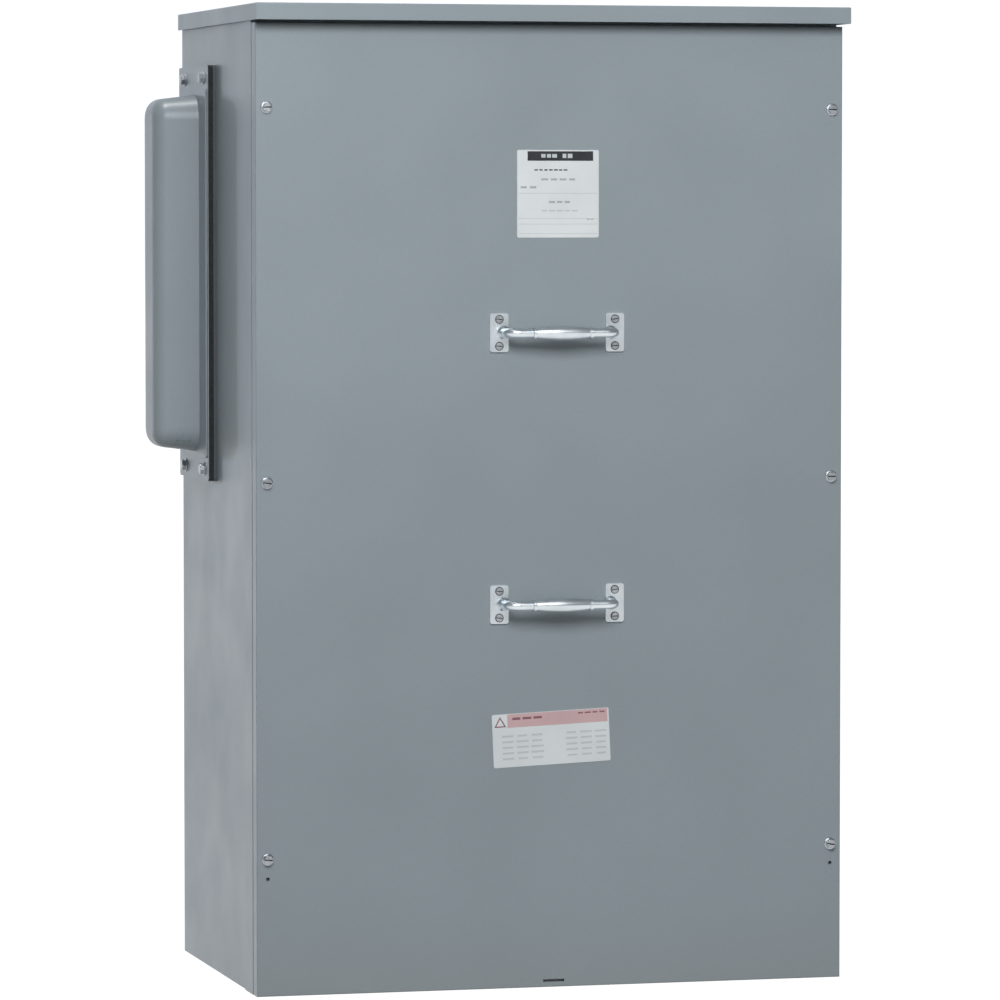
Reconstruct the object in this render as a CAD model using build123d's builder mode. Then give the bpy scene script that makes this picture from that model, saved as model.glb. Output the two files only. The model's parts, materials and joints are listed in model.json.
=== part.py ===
from build123d import *
import math
import os

# Automatic transfer switch in an outdoor sheet-steel case with a drip hood, a screwed lift-off
# front cover and a manual handle under a hinged guard on the left side.
# Millimetres, +Z up, the front faces -Y, the origin is the centre of the underside.

# ---- driving dimensions of the case ----
CASE_W = 770.0
CASE_D = 474.0
CASE_H = 1250.0
SHEET = 2.0
HOOD_LIP = 21.0
HOOD_FRONT_OVERHANG = 25.0
HOOD_SIDE_OVERHANG = 3.5
COVER_RETURN = 22.0
SEAM = 4.0
COVER_GAP = 0.3
COVER_TOP = 1226.0
FRAME_BAND = 46.0
LANDING_WIDTH = 38.0
GASKET_THICK = 3.0
CORNER_BEND = 1.5

HALF_W = CASE_W / 2
FRONT = -CASE_D / 2
BACK = CASE_D / 2
WALL_OUT = HALF_W - SHEET
WALL_IN = WALL_OUT - SHEET
RETURN_END = FRONT + COVER_RETURN
BAND_FRONT = RETURN_END + SEAM
BAND_BACK = BAND_FRONT + FRAME_BAND
INNER_BACK = BACK - SHEET
TOP_UNDER = CASE_H - 2 * SHEET
LANDING = FRONT + SHEET + GASKET_THICK + COVER_GAP
WEB_OUT = HALF_W - SHEET - COVER_GAP
WEB_BOTTOM = SHEET + 2 * COVER_GAP
WEB_TOP = COVER_TOP - SHEET - COVER_GAP

# ---- front cover hardware ----
SCREW_X = 371.0
SCREW_ROWS = (174.0, 649.0, 1120.0)
SCREW_HOLE_R = 4.5
DIMPLE_DROP = 25.0
DIMPLE_R = 2.5
DRAIN_SLOT = (28.0, 3.5)
DRAIN_SLOT_AT = (2.0, 8.7)
PULL_X = 5.5
PULL_ROWS = {"upper_cover_handle": 836.0, "lower_cover_handle": 491.0}
PULL_LENGTH = 176.0
PULL_PLATE = (24.0, 49.0, 3.0)
PULL_BAR_R = 6.0
PULL_REACH = 31.0
PULL_BARREL_R = 9.2
PULL_BARREL_LENGTH = 76.0
PULL_SCREW_SPACING = 34.0
PULL_SCREW_R = 2.4
RATING_PLATE = (107.0, 111.0, 7.0, 1011.8)
SAFETY_PLATE = (154.0, 68.0, -1.5, 319.6)
SAFETY_PLATE_TILT = 2.5
PLATE_THICK = 0.6

# ---- manual operator on the left wall ----
OPERATOR_Y = (12.5, 198.0)
OPERATOR_Z = (640.0, 1178.0)
OPERATOR_PAD = 4.5
OPERATOR_GASKET = 6.5
BASE_PLATE = 1.0
WINDOW_Y = (62.0, 148.0)
WINDOW_Z = (780.0, 1038.0)
EAR_BOLT_Y = (38.0, 157.0)
EAR_BOLT_Z = (655.0, 1162.0)
EAR_BOLT_R = 3.9
EAR_HOLE_R = 4.5
DOME_Y = (57.0, 153.0)
DOME_Z = (676.0, 1141.0)
DOME_REACH = 59.5
DOME_CORNER_R = 32.0
DOME_EDGE_R = 20.0
DOME_DRAFT = 7.0
RIB = (3.0, 9.0)
RIB_PROUD = 1.5
RIB_PITCH = 7.5
RIB_AT = (-417.0, 696.0)
GUARD_FLANGE_Y = (16.0, 177.0)
GUARD_FLANGE_Z = (670.0, 1147.0)
GUARD_GAP = 0.3
HINGE_Y = 186.0
HINGE_KNUCKLE_R = 4.5
HINGE_PIN_R = 2.5
HINGE_SPAN = (700.0, 1117.0)
HINGE_KNUCKLES = 9

PAD_FACE = -WALL_OUT - OPERATOR_PAD
GASKET_FACE = PAD_FACE - OPERATOR_GASKET
PLATE_FACE = GASKET_FACE - BASE_PLATE
GUARD_BACK = PLATE_FACE - GUARD_GAP
GUARD_FACE = GUARD_BACK - SHEET
HINGE_X = GUARD_FACE - HINGE_KNUCKLE_R + 1.0

# ---- transfer mechanism ----
SHAFT_Y = -50.0
SHAFT_Z = 909.0
SHAFT_R = 10.0
SHAFT_ENDS = (-374.0, 240.0)
RUNNING_GAP = 0.05
POLES = (-120.0, 0.0, 120.0)
HANDLE_RADIUS = 165.0
HANDLE_TRAVEL = 40.0
HANDLE_ROD_R = 6.0
HANDLE_GRIP_R = 9.5
HANDLE_SLOT_W = 17.0
HANDLE_ARM_X = (-372.0, -364.0)
HANDLE_ROD_END = -438.0
GRIP_START = -399.0
SIDE_PLATE_X = 205.0
SIDE_PLATE = 5.0
MECH_Y = (-130.0, 212.0)
MECH_Z = (735.0, 1083.0)
BEARING_R = 16.0
TIE_ROD_R = 5.0
TIE_ROD_Y = -118.0
TIE_ROD_Z = (752.0, 1066.0)
CARRIER_R = 28.0
CARRIER_HALF = 25.0
BLADE_HALF = 4.0
BLADE_WIDE = 14.0
BLADE_REACH = 110.0
JAW_GAP = 0.6
JAW_THICK = 5.0
JAW_NEAR = 30.0
JAW_FAR = 84.0
JAW_Y = (-5.0, 64.0)
BUS_THICK = 6.0
BUS_HALF = 18.0
BUS_FAR = 176.0
LOAD_HALF = 10.0
LOAD_PLATE_Y = (-16.0, 170.0)
LOAD_BAR_X = (30.0, 54.0)
LOAD_BAR_BOTTOM = 640.0
BARRIER_X = 60.0
BARRIER_THICK = 3.0
CHUTE_WALL = (14.0, 18.0)
CHUTE_Y = (-30.0, 60.0)
CHUTE_FAR = 116.0
SPLITTERS = 3
LUG_HALF = 16.0
LUG_DEPTH = 30.0
LUG_TALL = 40.0
LUG_BORE_R = 9.0
LUG_SCREW_R = 6.0
CRANK_R = 30.0
CRANK_PIN_R = 5.0
CRANK_X = (226.0, 236.0)
YOKE_X = (249.0, 257.0)
YOKE_PLAY = 1.0
SOLENOID_Y = -76.5
SOLENOID_TALL = 90.0
SOLENOID_OFFSET = 79.0
COIL_R = 30.0
PLUNGER_R = 10.0
SOLENOID_X = (YOKE_X[0] + YOKE_X[1]) / 2

# ---- panel and control gear ----
PANEL_X = 345.0
PANEL_Z = (320.0, 1190.0)
PANEL_Y = (212.0, 215.0)
STANDOFF_R = 9.0
STANDOFF_X = 300.0
STANDOFF_Z = (360.0, 1150.0)
WALL_BOLT_R = 6.5
WALL_BOLT_X = 300.0
WALL_BOLT_Z = (75.0, 1205.0)
GLAND_PLATE = (300.0, 220.0, 3.0)
GLAND_Y = 118.0
GLAND_LIP = 10.0
CONDUIT_R = 31.0
CONDUIT_PITCH = 90.0
GLAND_SCREW_R = 2.5
CONTROLLER_X = (-340.0, -150.0)
CONTROLLER_Y = (160.0, 212.0)
CONTROLLER_Z = (450.0, 600.0)
BUTTON_R = 6.0
BUTTON_Z = 475.0
BUTTONS = {"test_button": -190.0, "mode_button": -220.0}
LAMP_R = 3.0
LAMP_X = (-325.0, -305.0, -285.0, -265.0)
DISPLAY = ((-325.0, -205.0), (520.0, 575.0))
HARNESS_R = 6.0


def save(builder, label):
    builder.part.label = label
    export_step(builder.part, "parts/" + label + ".step")


def block(x, y, z, mode=Mode.ADD):
    """A box between three (low, high) pairs."""
    centre = ((x[0] + x[1]) / 2, (y[0] + y[1]) / 2, (z[0] + z[1]) / 2)
    with Locations(centre):
        Box(abs(x[1] - x[0]), abs(y[1] - y[0]), abs(z[1] - z[0]), mode=mode)


def rod_x(x, y, z, radius, mode=Mode.ADD):
    """A round bar or hole along X between two x values."""
    with BuildSketch(Plane.YZ.offset(min(x))) as section:
        with Locations((y, z)):
            Circle(radius)
    extrude(section.sketch, amount=abs(x[1] - x[0]), mode=mode)


def rod_y(x, y, z, radius, mode=Mode.ADD):
    """A round bar or hole along Y between two y values."""
    with BuildSketch(Plane.XZ.offset(-max(y))) as section:
        with Locations((x, z)):
            Circle(radius)
    extrude(section.sketch, amount=abs(y[1] - y[0]), mode=mode)


def rod_z(x, y, z, radius, mode=Mode.ADD):
    """A round bar or hole along Z between two z values."""
    with BuildSketch(Plane.XY.offset(min(z))) as section:
        with Locations((x, y)):
            Circle(radius)
    extrude(section.sketch, amount=abs(z[1] - z[0]), mode=mode)


def span(centre, half):
    return (centre - half, centre + half)


def reach(side, near, far):
    """A z range above (+1) or below (-1) the shaft."""
    low, high = sorted((SHAFT_Z + side * near, SHAFT_Z + side * far))
    return (low, high)


# ---------------------------------------------------------------- case

def slot_point(angle, radius, beyond=0.0):
    """A point about the shaft at an angle and radius, moved on along the arc's tangent."""
    turn = math.radians(angle)
    along = math.copysign(beyond, angle)
    return (SHAFT_Y + radius * math.cos(turn) - along * math.sin(turn),
            SHAFT_Z + radius * math.sin(turn) + along * math.cos(turn))


def side_walls():
    y = (BAND_BACK, INNER_BACK)
    z = (SHEET, TOP_UNDER)
    half = HANDLE_SLOT_W / 2
    near = HANDLE_RADIUS - half
    far = HANDLE_RADIUS + half
    with BuildPart() as left:
        block((-WALL_OUT, -WALL_IN), y, z)
        with BuildSketch(Plane.YZ.offset(-WALL_OUT)):
            with BuildLine():
                for radius in (near, far):
                    ThreePointArc(slot_point(-HANDLE_TRAVEL, radius), slot_point(0, radius),
                                  slot_point(HANDLE_TRAVEL, radius))
                for angle in (-HANDLE_TRAVEL, HANDLE_TRAVEL):
                    ThreePointArc(slot_point(angle, near), slot_point(angle, HANDLE_RADIUS, half),
                                  slot_point(angle, far))
            make_face()
        extrude(amount=SHEET, both=True, mode=Mode.SUBTRACT)
        for by in EAR_BOLT_Y:
            for bz in EAR_BOLT_Z:
                rod_x((-WALL_OUT, -WALL_IN), by, bz, EAR_HOLE_R, Mode.SUBTRACT)
    save(left, "side_wall_left")
    with BuildPart() as right:
        block((WALL_IN, WALL_OUT), y, z)
    save(right, "side_wall_right")


def back_panel():
    with BuildPart() as back:
        block((-WALL_OUT, WALL_OUT), (INNER_BACK, BACK), (0, TOP_UNDER))
        for z in WALL_BOLT_Z:
            for x in (-WALL_BOLT_X, WALL_BOLT_X):
                rod_y(x, (INNER_BACK, BACK), z, WALL_BOLT_R, Mode.SUBTRACT)
    save(back, "back_panel")


def gland_screw_places():
    dx = GLAND_PLATE[0] / 2 - GLAND_LIP / 2
    dy = GLAND_PLATE[1] / 2 - GLAND_LIP / 2
    return [(x, GLAND_Y + y) for x in (-dx, 0, dx) for y in (-dy, dy)]


def floor_and_gland_plate():
    half_x = GLAND_PLATE[0] / 2
    half_y = GLAND_PLATE[1] / 2
    plate_z = (SHEET, SHEET + GLAND_PLATE[2])
    with BuildPart() as floor:
        block((-WALL_OUT, WALL_OUT), (BAND_BACK, INNER_BACK), (0, SHEET))
        block(span(0, half_x - GLAND_LIP), span(GLAND_Y, half_y - GLAND_LIP), (0, SHEET),
              Mode.SUBTRACT)
        for x, y in gland_screw_places():
            rod_z(x, y, (0, SHEET), GLAND_SCREW_R, Mode.SUBTRACT)
    save(floor, "floor_pan")
    with BuildPart() as gland:
        block(span(0, half_x), span(GLAND_Y, half_y), plate_z)
        for x in (-CONDUIT_PITCH, 0, CONDUIT_PITCH):
            rod_z(x, GLAND_Y, plate_z, CONDUIT_R, Mode.SUBTRACT)
        for x, y in gland_screw_places():
            rod_z(x, y, plate_z, GLAND_SCREW_R, Mode.SUBTRACT)
    save(gland, "gland_plate")
    with BuildPart() as screws:
        for x, y in gland_screw_places():
            rod_z(x, y, (COVER_GAP, plate_z[1]), GLAND_SCREW_R)
            rod_z(x, y, (plate_z[1], plate_z[1] + SHEET), 2 * GLAND_SCREW_R - COVER_GAP)
    save(screws, "gland_plate_screws")


def roof():
    with BuildPart() as top:
        block((-HALF_W, HALF_W), (BAND_FRONT, BACK), (TOP_UNDER, TOP_UNDER + SHEET))
    save(top, "top_panel")
    hood_x = HALF_W + HOOD_SIDE_OVERHANG
    hood_y = (FRONT - HOOD_FRONT_OVERHANG, BACK)
    inside_y = (hood_y[0] + SHEET, BACK)
    with BuildPart() as hood:
        block((-hood_x, hood_x), hood_y, (CASE_H - HOOD_LIP, CASE_H))
        front_bend = hood.edges().filter_by(Axis.X).group_by(Axis.Z)[-1].sort_by(Axis.Y)[0]
        side_bends = hood.edges().filter_by(Axis.Y).group_by(Axis.Z)[-1]
        fillet([front_bend, *side_bends], CORNER_BEND)
        block(span(0, hood_x - SHEET), inside_y, (CASE_H - HOOD_LIP, CASE_H - SHEET), Mode.SUBTRACT)
    save(hood, "roof_hood")


def front_frame():
    """The stiffening ring that laps the side walls and that the cover lands on."""
    mid_z = (WEB_BOTTOM + WEB_TOP) / 2
    tall = WEB_TOP - WEB_BOTTOM
    with BuildPart() as frame:
        with BuildSketch(Plane.XZ.offset(-BAND_BACK)):
            with Locations((0, mid_z)):
                Rectangle(2 * WEB_OUT, tall)
                Rectangle(2 * (WEB_OUT - SHEET), tall - 2 * SHEET, mode=Mode.SUBTRACT)
        extrude(amount=BAND_BACK - LANDING)
        with BuildSketch(Plane.XZ.offset(-LANDING - SHEET)):
            with Locations((0, mid_z)):
                Rectangle(2 * WEB_OUT, tall)
                Rectangle(2 * (WEB_OUT - LANDING_WIDTH), tall - 2 * LANDING_WIDTH, mode=Mode.SUBTRACT)
        extrude(amount=SHEET)
        for side in (-1, 1):
            block((side * WEB_OUT, side * HALF_W), (BAND_FRONT, BAND_BACK), (0, TOP_UNDER))
            for z in SCREW_ROWS:
                rod_y(side * SCREW_X, (LANDING, LANDING + SHEET), z, SCREW_HOLE_R, Mode.SUBTRACT)
        block((-WEB_OUT, WEB_OUT), (BAND_FRONT, BAND_BACK), (0, WEB_BOTTOM))
        block((-WEB_OUT, WEB_OUT), (BAND_FRONT, BAND_FRONT + SHEET), (WEB_TOP - SHEET, TOP_UNDER))
    save(frame, "front_frame")


def mounting_panel():
    with BuildPart() as panel:
        block((-PANEL_X, PANEL_X), PANEL_Y, PANEL_Z)
        fillet(panel.edges().filter_by(Axis.Y), 4 * CORNER_BEND)
    save(panel, "mounting_panel")
    with BuildPart() as standoffs:
        for z in STANDOFF_Z:
            for x in (-STANDOFF_X, STANDOFF_X):
                rod_y(x, (PANEL_Y[1], INNER_BACK), z, STANDOFF_R)
    save(standoffs, "panel_standoffs")


# ---------------------------------------------------------------- front cover

def front_cover():
    mid_z = (COVER_GAP + COVER_TOP) / 2
    tall = COVER_TOP - COVER_GAP
    with BuildPart() as cover:
        block((-HALF_W, HALF_W), (FRONT, RETURN_END), span(mid_z, tall / 2))
        face_edges = cover.faces().sort_by(Axis.Y)[0].edges()
        fillet(face_edges, CORNER_BEND)
        block(span(0, HALF_W - SHEET), (FRONT + SHEET, RETURN_END), span(mid_z, tall / 2 - SHEET),
              Mode.SUBTRACT)
        for side in (-1, 1):
            for z in SCREW_ROWS:
                rod_y(side * SCREW_X, (FRONT, FRONT + SHEET), z, SCREW_HOLE_R, Mode.SUBTRACT)
            dimple_z = SCREW_ROWS[0] - DIMPLE_DROP
            rod_y(side * SCREW_X, (FRONT, FRONT + SHEET), dimple_z, DIMPLE_R, Mode.SUBTRACT)
        x, z = DRAIN_SLOT_AT
        block(span(x, DRAIN_SLOT[0] / 2), (FRONT, FRONT + SHEET), span(z, DRAIN_SLOT[1] / 2),
              Mode.SUBTRACT)
    save(cover, "front_cover")


def cover_gasket():
    mid_z = (WEB_BOTTOM + WEB_TOP) / 2
    out_x = WEB_OUT - LANDING_WIDTH / 2
    out_z = WEB_TOP - WEB_BOTTOM - LANDING_WIDTH
    strip = LANDING_WIDTH / 2 - SHEET
    with BuildPart() as gasket:
        with BuildSketch(Plane.XZ.offset(-FRONT - SHEET)):
            with Locations((0, mid_z)):
                Rectangle(2 * out_x, out_z)
                Rectangle(2 * (out_x - strip), out_z - 2 * strip, mode=Mode.SUBTRACT)
        extrude(amount=-GASKET_THICK)
    save(gasket, "cover_gasket")


def cover_screws():
    """Hex washer-head screws that stay in the cover."""
    washer = 1.6
    head = 5.5
    shank_end = FRONT + 16.0
    with BuildPart() as screws:
        for side in (-1, 1):
            for z in SCREW_ROWS:
                rod_y(side * SCREW_X, (FRONT - washer, FRONT), z, 7.8)
                with BuildSketch(Plane.XZ.offset(-FRONT + washer)):
                    with Locations((side * SCREW_X, z)):
                        RegularPolygon(6.2, 6)
                extrude(amount=head)
                rod_y(side * SCREW_X, (FRONT, shank_end), z, SCREW_HOLE_R - 2 * COVER_GAP)
    save(screws, "cover_screws")


def pull_screw_places(centre_z):
    dx = (PULL_LENGTH - PULL_PLATE[0]) / 2
    dz = PULL_SCREW_SPACING / 2
    return [(PULL_X + x, centre_z + z) for x in (-dx, dx) for z in (-dz, dz)]


def cover_handle(label, centre_z):
    """A rigid wire pull with a barrel grip between two footplates."""
    wide, tall, thick = PULL_PLATE
    foot = (PULL_LENGTH - wide) / 2
    leg = foot - wide / 4
    front = FRONT - PULL_REACH
    with BuildPart() as pull:
        with BuildSketch(Plane.XZ.offset(-FRONT)):
            with Locations((PULL_X - foot, centre_z), (PULL_X + foot, centre_z)):
                RectangleRounded(wide, tall, 3.0)
            with Locations(*pull_screw_places(centre_z)):
                Circle(PULL_SCREW_R, mode=Mode.SUBTRACT)
        extrude(amount=thick)
        with BuildLine(Plane.XY.offset(centre_z)):
            FilletPolyline((PULL_X - leg, FRONT - thick), (PULL_X - leg, front), (PULL_X + leg, front),
                           (PULL_X + leg, FRONT - thick), radius=12.0)
        with BuildSketch(Plane((PULL_X - leg, FRONT - thick, centre_z), z_dir=(0, -1, 0))):
            Circle(PULL_BAR_R)
        sweep()
        half = PULL_BARREL_LENGTH / 2
        with BuildSketch(Plane.XY.offset(centre_z)):
            with BuildLine():
                Line((PULL_X - half, front), (PULL_X + half, front))
                Line((PULL_X + half, front), (PULL_X + half, front - PULL_BAR_R))
                ThreePointArc((PULL_X + half, front - PULL_BAR_R), (PULL_X, front - PULL_BARREL_R),
                              (PULL_X - half, front - PULL_BAR_R))
                Line((PULL_X - half, front - PULL_BAR_R), (PULL_X - half, front))
            make_face()
        revolve(axis=Axis((PULL_X, front, centre_z), (1, 0, 0)))
    save(pull, label)


def cover_handle_screws():
    head_face = FRONT - PULL_PLATE[2]
    with BuildPart() as screws:
        for row in PULL_ROWS.values():
            for x, z in pull_screw_places(row):
                rod_y(x, (head_face, FRONT), z, PULL_SCREW_R)
                rod_y(x, (head_face - 1.8, head_face), z, 2 * PULL_SCREW_R)
    save(screws, "cover_handle_screws")


def cover_plates():
    for label, data, tilt in (("rating_plate", RATING_PLATE, 0.0),
                              ("safety_plate", SAFETY_PLATE, SAFETY_PLATE_TILT)):
        with BuildPart() as plate:
            with BuildSketch(Plane.XZ.offset(-FRONT)):
                with Locations(Location((data[2], data[3]), tilt)):
                    RectangleRounded(data[0], data[1], 2.0)
            extrude(amount=PLATE_THICK)
        save(plate, label)


# ---------------------------------------------------------------- manual operator

def operator_layer(label, x, window_grow):
    """A flat layer of the operator's base: its outline, its window and its bolt holes."""
    mid = (sum(OPERATOR_Y) / 2, sum(OPERATOR_Z) / 2)
    window_mid = (sum(WINDOW_Y) / 2, sum(WINDOW_Z) / 2)
    with BuildPart() as layer:
        with BuildSketch(Plane.YZ.offset(x[0])):
            with Locations(mid):
                RectangleRounded(OPERATOR_Y[1] - OPERATOR_Y[0], OPERATOR_Z[1] - OPERATOR_Z[0], 4.0)
            with Locations(window_mid):
                RectangleRounded(WINDOW_Y[1] - WINDOW_Y[0] + window_grow,
                                 WINDOW_Z[1] - WINDOW_Z[0] + window_grow, 8.0, mode=Mode.SUBTRACT)
            with Locations(*[(by, bz) for by in EAR_BOLT_Y for bz in EAR_BOLT_Z]):
                Circle(EAR_HOLE_R, mode=Mode.SUBTRACT)
        extrude(amount=x[1] - x[0])
    save(layer, label)


def operator_bolts():
    washer = 1.6
    head = 5.3
    with BuildPart() as bolts:
        for y in EAR_BOLT_Y:
            for z in EAR_BOLT_Z:
                rod_x((PLATE_FACE - washer, PLATE_FACE), y, z, 8.5)
                with BuildSketch(Plane.YZ.offset(PLATE_FACE - washer - head)):
                    with Locations((y, z)):
                        RegularPolygon(7.4, 6)
                extrude(amount=head)
                rod_x((PLATE_FACE, -WALL_IN + 4.0), y, z, EAR_BOLT_R)
    save(bolts, "operator_plate_bolts")


def dome_form(inset):
    """The guard's drawn dome as a solid, or the hollow inside it when inset by the sheet."""
    size = (DOME_Y[1] - DOME_Y[0] - 2 * inset, DOME_Z[1] - DOME_Z[0] - 2 * inset)
    with BuildPart() as form:
        with BuildSketch(Plane.YZ.offset(GUARD_BACK)):
            with Locations((sum(DOME_Y) / 2, sum(DOME_Z) / 2)):
                RectangleRounded(*size, DOME_CORNER_R - inset)
        extrude(amount=inset - DOME_REACH, taper=DOME_DRAFT)
        fillet(form.faces().sort_by(Axis.X)[0].edges(), DOME_EDGE_R - inset)
    return form.part


def guard_ribs():
    """Three short pressed ribs on the dome's front wall, near its lower end."""
    with BuildPart() as ribs:
        for count in (-1, 0, 1):
            x = RIB_AT[0] + count * RIB_PITCH
            block(span(x, RIB[0] / 2), span(DOME_Y[0], DOME_CORNER_R / 2), span(RIB_AT[1], RIB[1] / 2))
        add(dome_form(-RIB_PROUD), mode=Mode.INTERSECT)
    return ribs.part


def handle_guard():
    """The deep-drawn guard over the handle, with its flange."""
    outside = dome_form(0.0)
    ribs = guard_ribs()
    hollow = dome_form(SHEET)
    with BuildPart() as guard:
        with BuildSketch(Plane.YZ.offset(GUARD_FACE)):
            with Locations((sum(GUARD_FLANGE_Y) / 2, sum(GUARD_FLANGE_Z) / 2)):
                RectangleRounded(GUARD_FLANGE_Y[1] - GUARD_FLANGE_Y[0],
                                 GUARD_FLANGE_Z[1] - GUARD_FLANGE_Z[0], 4.0)
        extrude(amount=SHEET)
        add(outside)
        add(ribs)
        add(hollow, mode=Mode.SUBTRACT)
    save(guard, "handle_guard")


def hinge_knuckles(first):
    """Every other knuckle of the hinge, bored for the pin."""
    pitch = (HINGE_SPAN[1] - HINGE_SPAN[0]) / HINGE_KNUCKLES
    for count in range(first, HINGE_KNUCKLES, 2):
        low = HINGE_SPAN[0] + count * pitch + COVER_GAP
        yield (low, low + pitch - 2 * COVER_GAP)


def guard_hinge():
    leaf_x = (PLATE_FACE - 1.5, PLATE_FACE)
    moving_x = (GUARD_FACE - 1.5, GUARD_FACE)
    with BuildPart() as fixed:
        for z in hinge_knuckles(0):
            rod_z(HINGE_X, HINGE_Y, z, HINGE_KNUCKLE_R)
            block((HINGE_X, PLATE_FACE), (HINGE_Y + 1.5, HINGE_Y + HINGE_KNUCKLE_R), z)
            rod_z(HINGE_X, HINGE_Y, z, HINGE_PIN_R, Mode.SUBTRACT)
        block(leaf_x, (HINGE_Y + 1.5, OPERATOR_Y[1] - 2.0), HINGE_SPAN)
    save(fixed, "guard_fixed_hinge_leaf")
    with BuildPart() as moving:
        for z in hinge_knuckles(1):
            rod_z(HINGE_X, HINGE_Y, z, HINGE_KNUCKLE_R)
            block((HINGE_X, moving_x[1]), (HINGE_Y - HINGE_KNUCKLE_R, HINGE_Y - HINGE_PIN_R), z)
            block(moving_x, (DOME_Y[1] + 6.0, HINGE_Y - HINGE_PIN_R), z)
            rod_z(HINGE_X, HINGE_Y, z, HINGE_PIN_R + RUNNING_GAP, Mode.SUBTRACT)
        block(moving_x, (DOME_Y[1] + 6.0, GUARD_FLANGE_Y[1]), HINGE_SPAN)
    save(moving, "guard_moving_hinge_leaf")
    with BuildPart() as pin:
        rod_z(HINGE_X, HINGE_Y, (HINGE_SPAN[0] - 3.0, HINGE_SPAN[1] + 3.0), HINGE_PIN_R)
    save(pin, "guard_hinge_pin")


def manual_handle():
    """The arm on the shaft and the rod that comes out through the wall's arc slot."""
    peg_y = SHAFT_Y + HANDLE_RADIUS
    with BuildPart() as arm:
        rod_x(HANDLE_ARM_X, SHAFT_Y, SHAFT_Z, 2 * SHAFT_R)
        rod_x(HANDLE_ARM_X, peg_y, SHAFT_Z, 2 * HANDLE_ROD_R)
        block(HANDLE_ARM_X, (SHAFT_Y, peg_y), span(SHAFT_Z, HANDLE_ROD_R + 3.0))
        rod_x(HANDLE_ARM_X, SHAFT_Y, SHAFT_Z, SHAFT_R, Mode.SUBTRACT)
        rod_x(HANDLE_ARM_X, peg_y, SHAFT_Z, HANDLE_ROD_R, Mode.SUBTRACT)
    save(arm, "handle_arm")
    with BuildPart() as rod:
        rod_x((HANDLE_ROD_END, HANDLE_ARM_X[1]), peg_y, SHAFT_Z, HANDLE_ROD_R)
    save(rod, "handle_rod")
    with BuildPart() as grip:
        rod_x((HANDLE_ROD_END - 2.0, GRIP_START), peg_y, SHAFT_Z, HANDLE_GRIP_R)
        fillet(grip.edges(), 2.0)
        rod_x((HANDLE_ROD_END, GRIP_START), peg_y, SHAFT_Z, HANDLE_ROD_R, Mode.SUBTRACT)
    save(grip, "handle_grip")


# ---------------------------------------------------------------- transfer mechanism

def crossbar():
    with BuildPart() as shaft:
        rod_x(SHAFT_ENDS, SHAFT_Y, SHAFT_Z, SHAFT_R)
        chamfer(shaft.edges().filter_by(GeomType.CIRCLE), 1.0)
    save(shaft, "crossbar_shaft")
    blade_y = (SHAFT_Y + SHAFT_R + 4.0, SHAFT_Y + BLADE_REACH)
    with BuildPart() as carriers:
        for pole in POLES:
            rod_x(span(pole, CARRIER_HALF), SHAFT_Y, SHAFT_Z, CARRIER_R)
            block(span(pole, BLADE_HALF), blade_y, span(SHAFT_Z, BLADE_WIDE), Mode.SUBTRACT)
            rod_x(span(pole, CARRIER_HALF), SHAFT_Y, SHAFT_Z, SHAFT_R, Mode.SUBTRACT)
    save(carriers, "blade_carriers")
    with BuildPart() as blades:
        for pole in POLES:
            block(span(pole, BLADE_HALF), blade_y, span(SHAFT_Z, BLADE_WIDE))
        fillet(blades.edges().filter_by(Axis.X).group_by(Axis.Y)[-1], BLADE_WIDE / 2)
    save(blades, "moving_blades")
    with BuildPart() as bearings:
        for side in (-1, 1):
            x = (side * (SIDE_PLATE_X - 2.0), side * (SIDE_PLATE_X + SIDE_PLATE + 2.0))
            rod_x(x, SHAFT_Y, SHAFT_Z, BEARING_R)
            rod_x(x, SHAFT_Y, SHAFT_Z, SHAFT_R + RUNNING_GAP, Mode.SUBTRACT)
    save(bearings, "shaft_bearings")


def mechanism_frame():
    with BuildPart() as plates:
        for side in (-1, 1):
            x = (side * SIDE_PLATE_X, side * (SIDE_PLATE_X + SIDE_PLATE))
            block(x, MECH_Y, MECH_Z)
            rod_x(x, SHAFT_Y, SHAFT_Z, BEARING_R, Mode.SUBTRACT)
    save(plates, "mechanism_side_plates")
    with BuildPart() as rods:
        for z in TIE_ROD_Z:
            rod_x(span(0, SIDE_PLATE_X), TIE_ROD_Y, z, TIE_ROD_R)
    save(rods, "mechanism_tie_rods")
    with BuildPart() as barriers:
        for pole in (-BARRIER_X, BARRIER_X):
            x = span(pole, BARRIER_THICK / 2)
            block(x, (MECH_Y[0] + 5.0, 192.0), MECH_Z)
            rod_x(x, SHAFT_Y, SHAFT_Z, SHAFT_R + 2.0, Mode.SUBTRACT)
            for z in TIE_ROD_Z:
                rod_x(x, TIE_ROD_Y, z, TIE_ROD_R + RUNNING_GAP, Mode.SUBTRACT)
    save(barriers, "phase_barriers")


def insulating_base():
    slab_y = (192.0, MECH_Y[1])
    with BuildPart() as base:
        block(span(0, SIDE_PLATE_X), slab_y, MECH_Z)
        for pole in POLES:
            for side in (-1, 1):
                block(span(pole, BUS_HALF - BUS_THICK), (JAW_Y[1] + BUS_THICK, slab_y[0]),
                      reach(side, 120.0, 150.0))
            block((pole + LOAD_BAR_X[0] + 4.0, pole + LOAD_BAR_X[1] - 4.0),
                  (LOAD_PLATE_Y[1] + BUS_THICK, slab_y[0]), (840.0, 870.0))
    save(base, "insulating_base")


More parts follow.
